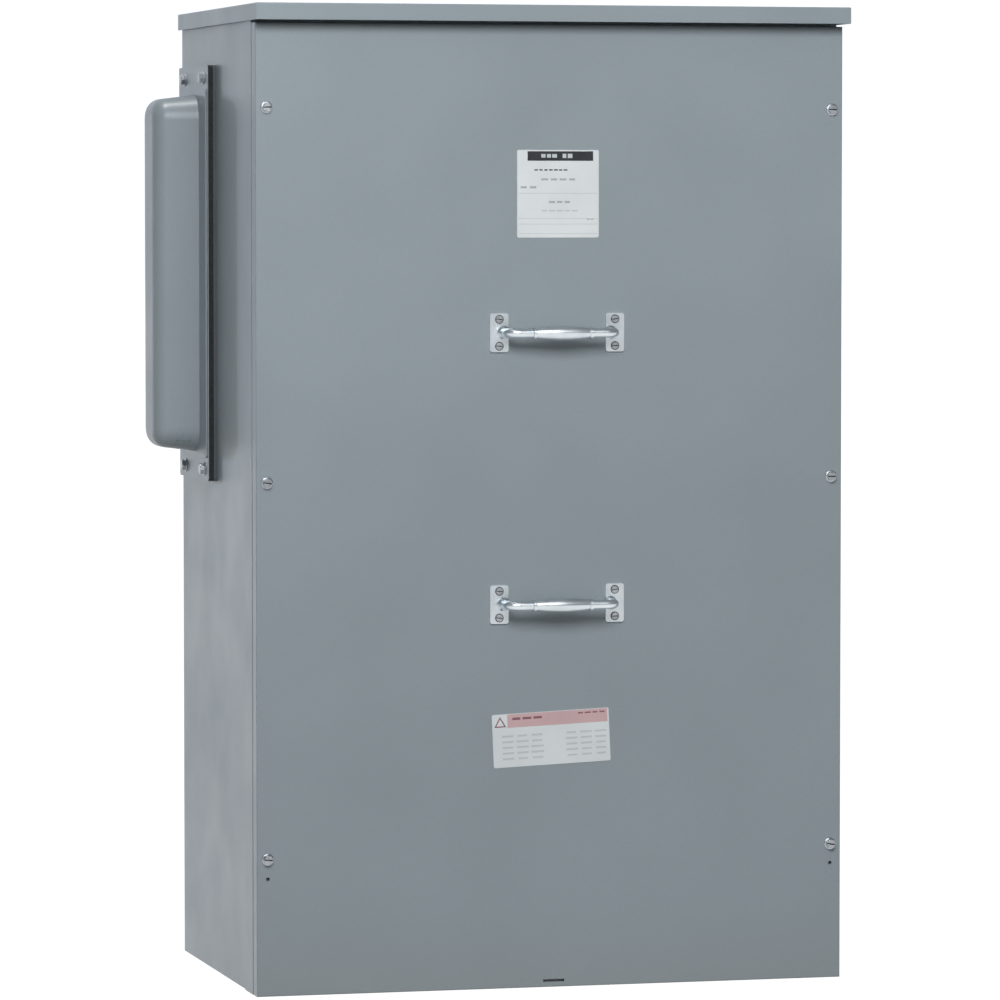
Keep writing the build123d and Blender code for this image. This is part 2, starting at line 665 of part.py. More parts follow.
def source_contacts(label, side):
    """Three jaws, each two copper plates either side of a blade, on a vertical bus bar."""
    inner = BLADE_HALF + JAW_GAP
    outer = inner + JAW_THICK
    with BuildPart() as jaws:
        for pole in POLES:
            for hand in (-1, 1):
                block((pole + hand * inner, pole + hand * outer), JAW_Y, reach(side, JAW_NEAR, JAW_FAR))
            block(span(pole, BUS_HALF), (JAW_Y[1], JAW_Y[1] + BUS_THICK), reach(side, JAW_NEAR, BUS_FAR))
    save(jaws, label)


def load_contacts():
    inner = BLADE_HALF + JAW_GAP
    outer = inner + JAW_THICK
    bar_y = (LOAD_PLATE_Y[1], LOAD_PLATE_Y[1] + BUS_THICK)
    z = span(SHAFT_Z, LOAD_HALF)
    with BuildPart() as loads:
        for pole in POLES:
            for hand in (-1, 1):
                block((pole + hand * inner, pole + hand * outer), LOAD_PLATE_Y, z)
            block((pole - outer, pole + LOAD_BAR_X[1]), bar_y, z)
            block((pole + LOAD_BAR_X[0], pole + LOAD_BAR_X[1]), bar_y, (LOAD_BAR_BOTTOM, z[1]))
    save(loads, "load_contacts")


def arc_chutes():
    with BuildPart() as walls:
        for pole in POLES:
            for side in (-1, 1):
                for hand in (-1, 1):
                    x = (pole + hand * CHUTE_WALL[0], pole + hand * CHUTE_WALL[1])
                    block(x, CHUTE_Y, reach(side, JAW_NEAR, CHUTE_FAR))
    save(walls, "arc_chute_walls")
    with BuildPart() as splitters:
        for pole in POLES:
            for side in (-1, 1):
                for count in range(SPLITTERS):
                    near = JAW_FAR + 5.0 + count * 9.0
                    block(span(pole, CHUTE_WALL[0]), CHUTE_Y, reach(side, near, near + SHEET))
    save(splitters, "arc_splitter_plates")


def lug_places():
    """Each lug's centre x, the y of the bar face behind it, and its centre z."""
    places = []
    for pole in POLES:
        for side in (-1, 1):
            places.append((pole, JAW_Y[1], SHAFT_Z + side * (BUS_FAR - LUG_TALL / 2 + 4.0)))
        places.append((pole + sum(LOAD_BAR_X) / 2, LOAD_PLATE_Y[1], LOAD_BAR_BOTTOM + LUG_TALL / 4))
    return places


def conductor_lugs():
    with BuildPart() as lugs:
        for x, face, z in lug_places():
            y = (face - LUG_DEPTH, face)
            block(span(x, LUG_HALF), y, span(z, LUG_TALL / 2))
            rod_z(x, sum(y) / 2, span(z, LUG_TALL / 2), LUG_BORE_R, Mode.SUBTRACT)
            rod_y(x, (y[0], sum(y) / 2), z, LUG_SCREW_R, Mode.SUBTRACT)
    save(lugs, "conductor_lugs")
    with BuildPart() as screws:
        for x, face, z in lug_places():
            front = face - LUG_DEPTH
            rod_y(x, (front - 6.0, front + 6.0), z, LUG_SCREW_R)
            with BuildSketch(Plane.XZ.offset(-front + 6.0)):
                with Locations((x, z)):
                    RegularPolygon(LUG_SCREW_R / 2, 6)
            extrude(amount=-LUG_SCREW_R, mode=Mode.SUBTRACT)
    save(screws, "lug_set_screws")


def solenoid_crank():
    """The crank on the shaft's right end, with its pin through the plunger's yoke."""
    pin_y = SHAFT_Y - CRANK_R
    with BuildPart() as crank:
        rod_x(CRANK_X, SHAFT_Y, SHAFT_Z, SHAFT_R + 8.0)
        rod_x(CRANK_X, pin_y, SHAFT_Z, 2 * CRANK_PIN_R)
        block(CRANK_X, (pin_y, SHAFT_Y), span(SHAFT_Z, 2 * CRANK_PIN_R))
        rod_x(CRANK_X, SHAFT_Y, SHAFT_Z, SHAFT_R, Mode.SUBTRACT)
        rod_x((CRANK_X[1], YOKE_X[1] + 5.0), pin_y, SHAFT_Z, CRANK_PIN_R)
        rod_x((YOKE_X[1] + 1.5, YOKE_X[1] + 5.0), pin_y, SHAFT_Z, CRANK_PIN_R + 3.0)
    save(crank, "solenoid_crank")


def solenoid_plunger():
    """The yoke that the crank pin works in, and its two cores."""
    slot_half = CRANK_PIN_R + YOKE_PLAY
    with BuildPart() as plunger:
        block(YOKE_X, (SOLENOID_Y - 20.0, SOLENOID_Y + 20.0), span(SHAFT_Z, 16.0))
        with BuildSketch(Plane.YZ.offset(YOKE_X[0])):
            with Locations((SOLENOID_Y, SHAFT_Z)):
                SlotOverall(24.0, 2 * slot_half)
        extrude(amount=YOKE_X[1] - YOKE_X[0], mode=Mode.SUBTRACT)
        for side in (-1, 1):
            rod_z(SOLENOID_X, SOLENOID_Y, reach(side, 16.0, 141.0), PLUNGER_R)
    save(plunger, "solenoid_plunger")


def solenoids():
    back_x = SIDE_PLATE_X + SIDE_PLATE
    plate = 4.0
    x = (back_x, SOLENOID_X + COIL_R + plate)
    y = span(SOLENOID_Y, COIL_R + plate)
    with BuildPart() as frames:
        for side in (-1, 1):
            low, high = reach(side, SOLENOID_OFFSET, SOLENOID_OFFSET + SOLENOID_TALL)
            block((back_x, back_x + plate), y, (low, high))
            for z in ((low, low + plate), (high - plate, high)):
                block(x, y, z)
                rod_z(SOLENOID_X, SOLENOID_Y, z, PLUNGER_R + 2.0, Mode.SUBTRACT)
    save(frames, "solenoid_frames")
    with BuildPart() as coils:
        for side in (-1, 1):
            low, high = reach(side, SOLENOID_OFFSET + plate, SOLENOID_OFFSET + SOLENOID_TALL - plate)
            rod_z(SOLENOID_X, SOLENOID_Y, (low, high), COIL_R - plate)
            for z in ((low, low + plate), (high - plate, high)):
                rod_z(SOLENOID_X, SOLENOID_Y, z, COIL_R)
            rod_z(SOLENOID_X, SOLENOID_Y, (low, high), PLUNGER_R + 1.5, Mode.SUBTRACT)
    save(coils, "solenoid_coils")


# ---------------------------------------------------------------- control gear

def controller():
    front = CONTROLLER_Y[0]
    display_x, display_z = DISPLAY
    with BuildPart() as case:
        block(CONTROLLER_X, CONTROLLER_Y, CONTROLLER_Z)
        fillet(case.faces().sort_by(Axis.Y)[0].edges(), 3.0)
        block(display_x, (front, front + 4.0), display_z, Mode.SUBTRACT)
        for x in BUTTONS.values():
            rod_y(x, (front, front + 12.0), BUTTON_Z, BUTTON_R + COVER_GAP, Mode.SUBTRACT)
        for x in LAMP_X:
            rod_y(x, (front, front + 4.0), BUTTON_Z, LAMP_R, Mode.SUBTRACT)
    save(case, "controller_case")
    with BuildPart() as display:
        block(display_x, (front + 2.0, front + 4.0), display_z)
    save(display, "controller_display")
    with BuildPart() as lamps:
        for x in LAMP_X:
            rod_y(x, (front - 1.5, front + 4.0), BUTTON_Z, LAMP_R)
    save(lamps, "controller_lamps")
    for label, x in BUTTONS.items():
        with BuildPart() as button:
            rod_y(x, (front - 4.0, front + 8.0), BUTTON_Z, BUTTON_R)
            fillet(button.edges().group_by(Axis.Y)[0], 1.0)
        save(button, label)


def terminal_block():
    front = 190.0
    ways = 12
    pitch = (CONTROLLER_X[1] - CONTROLLER_X[0]) / ways
    with BuildPart() as strip:
        block(CONTROLLER_X, (front, PANEL_Y[0]), (385.0, 420.0))
        for way in range(ways):
            x = CONTROLLER_X[0] + (way + 0.5) * pitch
            block(span(x, pitch / 3), (front, front + 8.0), (385.0, 396.0), Mode.SUBTRACT)
            block(span(x, pitch / 3), (front, front + 8.0), (409.0, 420.0), Mode.SUBTRACT)
            rod_y(x, (front - 2.0, front), 402.5, pitch / 4)
    save(strip, "terminal_block")


def control_transformer():
    x = (225.0, 325.0)
    with BuildPart() as transformer:
        block(x, (155.0, 205.0), (450.0, 540.0))
        block((x[0] + 18.0, x[1] - 18.0), (140.0, 212.0), (468.0, 522.0))
        block((x[0], x[1]), (205.0, 212.0), (450.0, 458.0))
        block((x[0], x[1]), (205.0, 212.0), (532.0, 540.0))
    save(transformer, "control_transformer")


def fuse_block():
    x = (225.0, 325.0)
    with BuildPart() as fuses:
        block(x, (192.0, 212.0), (600.0, 665.0))
        for count in range(3):
            fuse_x = x[0] + 18.0 + count * 32.0
            rod_z(fuse_x, 182.0, (608.0, 657.0), 7.0)
            for z in ((608.0, 618.0), (647.0, 657.0)):
                block(span(fuse_x, 5.0), (184.0, 192.0), z)
                rod_z(fuse_x, 182.0, z, 8.0)
    save(fuses, "fuse_block")


def bonding_bar(label, x, y, z, foot_y, screws):
    """A bar with a row of clamp screws, on two feet."""
    with BuildPart() as bar:
        block(x, y, z)
        pitch = (x[1] - x[0]) / screws
        mid_z = sum(z) / 2
        for count in range(screws):
            rod_y(x[0] + (count + 0.5) * pitch, (y[0] - 3.0, y[0]), mid_z, 4.0)
        for foot_x in (x[0] + 12.0, x[1] - 12.0):
            block(span(foot_x, 8.0), (y[1], foot_y), z)
    save(bar, label)


def control_harness():
    """The loom between the controller and the transformer, and its branch to the fuses."""
    with BuildPart() as loom:
        rod_x((CONTROLLER_X[1], 225.0), 190.0, 520.0, HARNESS_R)
        rod_z(300.0, 198.0, (540.0, 600.0), HARNESS_R)
    save(loom, "control_harness")


os.makedirs("parts", exist_ok=True)
side_walls()
back_panel()
floor_and_gland_plate()
roof()
front_frame()
mounting_panel()
front_cover()
cover_gasket()
cover_screws()
for handle_label, handle_z in PULL_ROWS.items():
    cover_handle(handle_label, handle_z)
cover_handle_screws()
cover_plates()
operator_layer("operator_pad", (PAD_FACE, -WALL_OUT), 2.0)
operator_layer("operator_gasket", (GASKET_FACE, PAD_FACE), 2.0)
operator_layer("operator_base_plate", (PLATE_FACE, GASKET_FACE), 0.0)
operator_bolts()
handle_guard()
guard_hinge()
manual_handle()
crossbar()
mechanism_frame()
insulating_base()
source_contacts("source_one_jaws", 1)
source_contacts("source_two_jaws", -1)
load_contacts()
arc_chutes()
conductor_lugs()
solenoid_crank()
solenoid_plunger()
solenoids()
controller()
terminal_block()
control_transformer()
fuse_block()
bonding_bar("neutral_bar", (-60.0, 190.0), (190.0, 198.0), (350.0, 375.0), PANEL_Y[0], 10)
bonding_bar("ground_bar", (-120.0, 120.0), (222.0, 228.0), (120.0, 140.0), INNER_BACK, 10)
control_harness()
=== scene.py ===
import json
import math
import random

import bmesh
import bpy
from mathutils import Matrix, Vector


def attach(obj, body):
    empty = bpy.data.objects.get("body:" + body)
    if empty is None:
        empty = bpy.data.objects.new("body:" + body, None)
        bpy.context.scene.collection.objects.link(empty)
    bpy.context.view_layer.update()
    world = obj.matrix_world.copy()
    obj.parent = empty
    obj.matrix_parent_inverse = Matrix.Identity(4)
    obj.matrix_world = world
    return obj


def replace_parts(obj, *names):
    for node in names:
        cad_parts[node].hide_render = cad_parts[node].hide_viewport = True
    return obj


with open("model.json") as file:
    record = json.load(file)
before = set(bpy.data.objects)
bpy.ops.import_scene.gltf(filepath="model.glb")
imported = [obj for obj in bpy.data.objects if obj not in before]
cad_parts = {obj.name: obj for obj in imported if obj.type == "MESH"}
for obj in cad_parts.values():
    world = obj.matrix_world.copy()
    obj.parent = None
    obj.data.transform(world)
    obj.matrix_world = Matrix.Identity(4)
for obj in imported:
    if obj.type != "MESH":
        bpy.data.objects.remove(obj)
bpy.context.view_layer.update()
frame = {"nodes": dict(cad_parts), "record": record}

MM = 0.001
random.seed(7)

# the view: where the camera stands, how far it is turned and tipped, and its lens
CAMERA_AT = (-1.8978, -7.3291, 1.0026)
CAMERA_TURN = 14.46
CAMERA_TIP = -2.96
CAMERA_LENS = 208.1

# light levels: the fill runs from below to above, and the backdrop is what mirrors and the camera see
FLOOR_GLOW = 1.02
FILL_BELOW = 0.05
FILL_ABOVE = 0.27
BACKDROP_MIRRORED = 0.95
BACKDROP_SEEN = 1.06
KEY_POWER = 335.0
FRONT_POWER = 104.0
STRIP_POWER = 26.0


# ------------------------------------------------------------------ materials

# the sockets of a colour Mix node, by their place on the node
MIX_FACTOR = 0
MIX_A = 6
MIX_B = 7
MIX_RESULT = 2


def scaled(color, amount):
    """A colour made darker or lighter."""
    return tuple(c * amount for c in color)


class Shader:
    """A Principled material under construction, with short names for the nodes it needs."""

    def __init__(self, name, color, roughness, metallic=0.0):
        self.mat = bpy.data.materials.new(name)
        self.mat.use_nodes = True
        self.tree = self.mat.node_tree
        self.bsdf = self.tree.nodes["Principled BSDF"]
        self.bsdf.inputs["Base Color"].default_value = (*color, 1.0)
        self.bsdf.inputs["Roughness"].default_value = roughness
        self.bsdf.inputs["Metallic"].default_value = metallic
        self.color = color
        self.coords = self.node("ShaderNodeTexCoord").outputs["Object"]
        self.normal = None

    def node(self, kind, **values):
        made = self.tree.nodes.new(kind)
        for key, value in values.items():
            setattr(made, key, value)
        return made

    def link(self, out, into):
        self.tree.links.new(out, into)

    def stretched(self, scale):
        """Object coordinates scaled per axis, for grain that runs one way."""
        mapping = self.node("ShaderNodeMapping")
        mapping.inputs["Scale"].default_value = scale
        self.link(self.coords, mapping.inputs["Vector"])
        return mapping.outputs["Vector"]

    def noise(self, scale, detail, stretch=None):
        made = self.node("ShaderNodeTexNoise")
        made.inputs["Scale"].default_value = scale
        made.inputs["Detail"].default_value = detail
        self.link(self.stretched(stretch) if stretch else self.coords, made.inputs["Vector"])
        return made.outputs["Fac"]

    def cells(self, scale):
        made = self.node("ShaderNodeTexVoronoi")
        made.inputs["Scale"].default_value = scale
        self.link(self.coords, made.inputs["Vector"])
        return made

    def bands(self, scale, axis, distortion=0.0):
        made = self.node("ShaderNodeTexWave", wave_type="BANDS", bands_direction=axis)
        made.inputs["Scale"].default_value = scale
        made.inputs["Distortion"].default_value = distortion
        self.link(self.coords, made.inputs["Vector"])
        return made.outputs["Fac"]

    def ramp(self, fac, low, high, a, b):
        """Maps fac between low and high to a value or colour between a and b."""
        made = self.node("ShaderNodeMapRange", clamp=True)
        made.inputs["From Min"].default_value = low
        made.inputs["From Max"].default_value = high
        made.inputs["To Min"].default_value = a
        made.inputs["To Max"].default_value = b
        self.link(fac, made.inputs["Value"])
        return made.outputs["Result"]

    def mix(self, fac, a, b):
        """Mixes two colours, each a tuple or an output, by fac, a number or an output."""
        made = self.node("ShaderNodeMix", data_type="RGBA")
        for value, socket in ((fac, MIX_FACTOR), (a, MIX_A), (b, MIX_B)):
            if hasattr(value, "is_linked"):
                self.link(value, made.inputs[socket])
            else:
                made.inputs[socket].default_value = value if socket == MIX_FACTOR else (*value, 1.0)
        return made.outputs[MIX_RESULT]

    def tint(self, fac, low, high, darker, lighter):
        """Scales the base colour between darker and lighter by fac."""
        dark = scaled(self.color, darker)
        light = tuple(min(1.0, c) for c in scaled(self.color, lighter))
        self.paint(self.mix(self.ramp(fac, low, high, 0.0, 1.0), dark, light))

    def paint(self, out):
        self.link(out, self.bsdf.inputs["Base Color"])

    def rough(self, fac, low, high, a, b):
        self.link(self.ramp(fac, low, high, a, b), self.bsdf.inputs["Roughness"])

    def bump(self, height, strength, distance):
        made = self.node("ShaderNodeBump")
        made.inputs["Strength"].default_value = strength
        made.inputs["Distance"].default_value = distance
        self.link(height, made.inputs["Height"])
        if self.normal:
            self.link(self.normal, made.inputs["Normal"])
        self.normal = made.outputs["Normal"]
        self.link(self.normal, self.bsdf.inputs["Normal"])

    def height(self):
        """The point's height in metres."""
        made = self.node("ShaderNodeSeparateXYZ")
        self.link(self.coords, made.inputs["Vector"])
        return made.outputs["Z"]


def powder_coat(name, color, roughness):
    """Powder coat: soft tone drift, rain dust low down, orange peel and the sheet's slight waves."""
    s = Shader(name, color, roughness)
    drift = s.mix(s.ramp(s.noise(2.3, 2.0), 0.35, 0.65, 0.0, 1.0),
                  scaled(color, 0.955), scaled(color, 1.03))
    speck = s.mix(s.ramp(s.noise(420.0, 2.0), 0.42, 0.6, 0.0, 0.10), drift, scaled(color, 0.72))
    dust = s.ramp(s.height(), 0.0, 0.10, 0.16, 0.0)
    s.paint(s.mix(dust, speck, (0.30, 0.28, 0.25)))
    s.rough(s.noise(9.0, 3.0), 0.3, 0.7, roughness - 0.05, roughness + 0.07)
    s.bump(s.noise(3.1, 1.0), 0.22, 0.004)
    s.bump(s.noise(330.0, 1.0), 0.20, 0.0006)
    s.bsdf.inputs["Coat Weight"].default_value = 0.12
    s.bsdf.inputs["Coat Roughness"].default_value = 0.25
    return s.mat


def zinc(name, color, roughness=0.30):
    """Bright zinc: cloudy tone and fine scratches."""
    s = Shader(name, color, roughness, 1.0)
    s.tint(s.noise(60.0, 4.0), 0.3, 0.7, 0.72, 1.06)
    s.rough(s.noise(140.0, 3.0), 0.3, 0.7, roughness - 0.08, roughness + 0.16)
    s.bump(s.noise(700.0, 2.0, (1.0, 0.15, 1.0)), 0.12, 0.0003)
    return s.mat


def spangle(name, color):
    """Galvanised sheet: flat crystals, each of its own grey."""
    s = Shader(name, color, 0.42, 0.9)
    crystals = s.cells(150.0)
    grey = s.node("ShaderNodeSeparateColor")
    s.link(crystals.outputs["Color"], grey.inputs["Color"])
    s.tint(grey.outputs["Red"], 0.0, 1.0, 0.74, 1.08)
    s.rough(grey.outputs["Green"], 0.0, 1.0, 0.32, 0.55)
    s.bump(s.noise(260.0, 2.0), 0.08, 0.0004)
    return s.mat


def polished(name, color):
    """The pulls: bright plating, dulled by hands."""
    s = Shader(name, color, 0.26, 1.0)
    s.tint(s.noise(30.0, 4.0), 0.35, 0.7, 0.86, 1.04)
    s.rough(s.noise(40.0, 3.0), 0.35, 0.72, 0.29, 0.38)
    s.bump(s.noise(300.0, 2.0, (0.2, 1.0, 1.0)), 0.015, 0.0002)
    return s.mat


def machined(name, color):
    """Turned or milled steel: fine lines round or along the bar."""
    s = Shader(name, color, 0.30, 1.0)
    s.tint(s.noise(45.0, 4.0), 0.3, 0.7, 0.78, 1.05)
    lines = s.noise(900.0, 2.0, (1.0, 0.12, 0.12))
    s.rough(lines, 0.3, 0.7, 0.22, 0.42)
    s.bump(lines, 0.12, 0.0002)
    return s.mat


def bare_copper(name, color):
    """Copper bar: rolled grain and patches of brown tarnish."""
    s = Shader(name, color, 0.28, 1.0)
    tarnish = s.ramp(s.noise(28.0, 5.0), 0.45, 0.75, 0.0, 0.75)
    s.paint(s.mix(tarnish, color, (0.30, 0.13, 0.07)))
    s.rough(s.noise(60.0, 4.0), 0.3, 0.7, 0.2, 0.45)
    s.bump(s.noise(600.0, 2.0, (1.0, 1.0, 0.1)), 0.10, 0.0002)
    return s.mat


def sponge(name, color):
    """Closed-cell rubber: small cells on a dull skin."""
    s = Shader(name, color, 0.85)
    cells = s.cells(900.0).outputs["Distance"]
    s.tint(s.noise(200.0, 3.0), 0.3, 0.7, 0.7, 1.5)
    s.bump(cells, 0.35, 0.0006)
    return s.mat


def moulded(name, color, roughness):
    """Moulded plastic: a fine spark-eroded grain and a little tone drift."""
    s = Shader(name, color, roughness)
    s.tint(s.noise(14.0, 3.0), 0.3, 0.7, 0.88, 1.08)
    s.rough(s.noise(40.0, 2.0), 0.3, 0.7, roughness - 0.05, roughness + 0.08)
    s.bump(s.noise(650.0, 2.0), 0.25, 0.0004)
    return s.mat


def phenolic(name, color):
    """Moulded glass-filled compound: mottled, with short pale fibres."""
    s = Shader(name, color, 0.5)
    mottled = s.mix(s.ramp(s.noise(55.0, 5.0), 0.35, 0.65, 0.0, 1.0),
                    scaled(color, 0.7), scaled(color, 1.2))
    fibres = s.ramp(s.noise(240.0, 2.0, (0.15, 1.0, 1.0)), 0.62, 0.7, 0.0, 0.35)
    s.paint(s.mix(fibres, mottled, (0.45, 0.28, 0.2)))
    s.bump(s.noise(300.0, 3.0), 0.12, 0.0004)
    return s.mat


def printed_film(name, color):
    """A plate's film: slightly yellowed, with a satin surface."""
    s = Shader(name, color, 0.38)
    s.tint(s.noise(18.0, 4.0), 0.3, 0.7, 0.93, 1.03)
    s.rough(s.noise(60.0, 3.0), 0.3, 0.7, 0.3, 0.46)
    s.bump(s.noise(240.0, 2.0), 0.06, 0.0003)
    return s.mat


def banded(name, color, gap_color, scale, axis, roughness=0.5, metallic=0.0):
    """Stacked or wound material: fine bands with darker gaps between them."""
    s = Shader(name, color, roughness, metallic)
    bands = s.bands(scale, axis, 0.4)
    s.paint(s.mix(s.ramp(bands, 0.25, 0.6, 1.0, 0.0), color, gap_color))
    s.rough(s.noise(50.0, 3.0), 0.3, 0.7, roughness - 0.06, roughness + 0.1)
    s.bump(bands, 0.5, 0.0006)
    return s.mat


def braid(name, color):
    """Braided sleeve: two sets of crossing bands."""
    s = Shader(name, color, 0.6)
    waves = []
    for lean in (1.0, -1.0):
        wave = s.node("ShaderNodeTexWave", wave_type="BANDS", bands_direction="DIAGONAL")
        wave.inputs["Scale"].default_value = 160.0
        s.link(s.stretched((lean, 1.0, 1.0)), wave.inputs["Vector"])
        waves.append(wave)
    cross = s.mix(0.5, waves[0].outputs["Color"], waves[1].outputs["Color"])
    s.paint(s.mix(cross, scaled(color, 0.5), scaled(color, 3.0)))
    for wave in waves:
        s.bump(wave.outputs["Fac"], 0.4, 0.0006)
    return s.mat


def lens(name, color, glow):
    """A translucent lamp lens with faint ribs, lit from inside."""
    s = Shader(name, color, 0.15)
    ribs = s.bands(400.0, "X")
    s.tint(ribs, 0.2, 0.8, 0.8, 1.1)
    s.bump(ribs, 0.2, 0.0003)
    s.bsdf.inputs["Transmission Weight"].default_value = 0.35
    s.bsdf.inputs["Emission Color"].default_value = (*color, 1.0)
    s.bsdf.inputs["Emission Strength"].default_value = glow
    return s.mat


def dark_glass(name, color):
    """The display's window: smooth, with a faint grid of the cells behind it."""
    s = Shader(name, color, 0.08)
    grid = s.mix(0.5, s.bands(190.0, "X"), s.bands(190.0, "Z"))
    s.paint(s.mix(grid, scaled(color, 0.75), scaled(color, 1.1)))
    s.rough(s.noise(80.0, 3.0), 0.3, 0.7, 0.05, 0.14)
    s.bsdf.inputs["Coat Weight"].default_value = 0.8
    return s.mat


PAINT = (0.335, 0.385, 0.415)
MATERIALS = {
    "grey_paint": powder_coat("grey_powder_coat", PAINT, 0.42),
    "zinc_fastener": zinc("bright_zinc", (0.46, 0.485, 0.51)),
    "galvanised_steel": spangle("galvanised_sheet", (0.60, 0.62, 0.64)),
    "pull_metal": polished("polished_plate", (0.70, 0.75, 0.78)),
    "rubber_seal": sponge("sponge_rubber", (0.014, 0.015, 0.016)),
    # the pad's dark grey is the grey paint at about a quarter of its brightness: painted shade on the pad's
    # edge beside the wall
    "neoprene_pad": moulded("neoprene", (0.085, 0.10, 0.11), 0.65),
    "label_film": printed_film("white_film", (0.93, 0.945, 0.95)),
    "safety_film": printed_film("pale_film", (0.90, 0.925, 0.935)),
    "bright_steel": machined("machined_steel", (0.55, 0.56, 0.57)),
    "bronze_bearing": bare_copper("sintered_bronze", (0.52, 0.34, 0.15)),
    "copper": bare_copper("copper_bar", (0.86, 0.46, 0.30)),
    "phenolic": phenolic("red_phenolic", (0.26, 0.055, 0.035)),
    "barrier_sheet": printed_film("barrier_sheet", (0.70, 0.67, 0.58)),
    "lug_aluminium": zinc("tinned_aluminium", (0.80, 0.81, 0.82), 0.34),
    "coil_tape": banded("coil_winding", (0.55, 0.40, 0.07), (0.16, 0.10, 0.02), 120.0, "Z"),
    "controller_plastic": moulded("controller_plastic", (0.045, 0.05, 0.055), 0.5),
    "display_glass": dark_glass("display_window", (0.16, 0.22, 0.15)),
    "lamp_lens": lens("lamp_lens", (0.85, 0.16, 0.05), 0.6),
    "button_plastic": moulded("button_plastic", (0.05, 0.28, 0.10), 0.3),
    "terminal_plastic": moulded("terminal_plastic", (0.72, 0.68, 0.56), 0.42),
    "transformer_iron": banded("laminated_iron", (0.10, 0.10, 0.11), (0.02, 0.02, 0.02), 260.0, "Y",
                               roughness=0.4, metallic=0.3),
    "harness_sleeve": braid("braided_sleeve", (0.02, 0.02, 0.022)),
    "grip_plastic": moulded("red_grip", (0.55, 0.03, 0.02), 0.32),
}

for row in frame["record"]["subparts"]:
    node = frame["nodes"][row["node"]]
    node.data.materials.clear()
    node.data.materials.append(MATERIALS[row["material_slot"]])


# the inks that print the plates
PRINT = {
    "black": printed_film("print_black", (0.018, 0.02, 0.028)),
    "grey": printed_film("print_grey", (0.50, 0.52, 0.54)),
    "pale": printed_film("print_pale", (0.70, 0.73, 0.74)),
    "white": printed_film("print_white", (0.90, 0.91, 0.92)),
    "red": printed_film("print_faded_red", (0.76, 0.50, 0.51)),
    "dark_red": printed_film("print_dark_red", (0.30, 0.12, 0.15)),
}


# ------------------------------------------------------------------ forms

THREAD_PITCH = 1.25
SHARP_ANGLE = 35.0


def facing(at, u, w):
    """A frame on a surface at a point in millimetres: u along it, v up, w out of it."""
    u = Vector(u)
    w = Vector(w)
    turn = Matrix((u, w.cross(u), w)).transposed().to_4x4()
    return Matrix.Translation(Vector(at) * MM) @ turn @ Matrix.Scale(MM, 4)


def front(x, y, z):
    """A frame on a face that looks forward, with u to the right."""
    return facing((x, y, z), (1, 0, 0), (0, -1, 0))


def left(x, y, z):
    """A frame on the left wall, with u towards the front."""
    return facing((x, y, z), (0, -1, 0), (-1, 0, 0))


def polygon(radius, sides):
    """A regular outline round the frame's centre."""
    step = math.tau / sides
    return [(radius * math.cos(i * step), radius * math.sin(i * step)) for i in range(sides)]


def rectangle(u, v, wide, tall):
    """A rectangular outline about the point u, v."""
    return [(u - wide / 2, v - tall / 2), (u + wide / 2, v - tall / 2),
            (u + wide / 2, v + tall / 2), (u - wide / 2, v + tall / 2)]


def prism(bm, place, outline, low, high):
    """A solid with a flat outline, between two heights above its surface."""
    bottom, top = [[bm.verts.new(place @ Vector((u, v, w))) for u, v in outline] for w in (low, high)]
    bm.faces.new(list(reversed(bottom)))
    bm.faces.new(top)
    for i, vert in enumerate(bottom):
        j = (i + 1) % len(outline)
        bm.faces.new((vert, bottom[j], top[j], top[i]))


def turned(bm, place, profile, sides=32):
    """A turned solid from (radius, height) pairs."""
    rings = [[bm.verts.new(place @ Vector((u, v, w))) for u, v in polygon(radius, sides)]
             for radius, w in profile]
    bm.faces.new(list(reversed(rings[0])))
    bm.faces.new(rings[-1])
    for low, high in zip(rings, rings[1:]):
        for i in range(sides):
            j = (i + 1) % sides
            bm.faces.new((low[i], low[j], high[j], high[i]))


def half_of(outline, side, gap):
    """The part of a convex outline beyond gap from the u axis, on one side of it."""
    kept = []
    for (u, v), (next_u, next_v) in zip(outline, outline[1:] + outline[:1]):
        here = side * v - gap
        there = side * next_v - gap
        if here >= 0:
            kept.append((u, v))
        if here * there < 0:
            part = here / (here - there)
            kept.append((u + part * (next_u - u), v + part * (next_v - v)))
    return kept


def slotted(bm, place, outline, low, high, slot, depth):
    """A screw head with a straight slot across it."""
    prism(bm, place, outline, low, high - depth)
    for side in (-1, 1):
        prism(bm, place, half_of(outline, side, slot / 2), high - depth, high)


def threaded(bm, place, radius, length):
    """A shank with thread grooves, going in from its surface."""
    profile = [(radius * 0.7, -length), (radius * 0.84, -length + THREAD_PITCH / 2)]
    for count in range(1, int(length / THREAD_PITCH)):
        profile.append((radius, -length + count * THREAD_PITCH))
        profile.append((radius * 0.86, -length + (count + 0.5) * THREAD_PITCH))
    profile.append((radius, 0.0))
    turned(bm, place, profile, 20)


def piece(name, bm, slot, body, material=None, bevel=0.0):
    """A finished mesh: its material, given or else the one for the record's slot, and the body it rides on.
    """
    mesh = bpy.data.meshes.new(name)
    bm.to_mesh(mesh)
    bm.free()
    for face in mesh.polygons:
        face.use_smooth = True
    mesh.set_sharp_from_angle(angle=math.radians(SHARP_ANGLE))
    mesh.materials.append(material or MATERIALS[slot])
    obj = bpy.data.objects.new(name, mesh)
    bpy.context.collection.objects.link(obj)
    if bevel:
        rounding = obj.modifiers.new("rounded_edges", "BEVEL")
        rounding.width = bevel * MM
        rounding.segments = 2
        rounding.limit_method = "ANGLE"
    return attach(obj, body)


# ------------------------------------------------------------------ fasteners

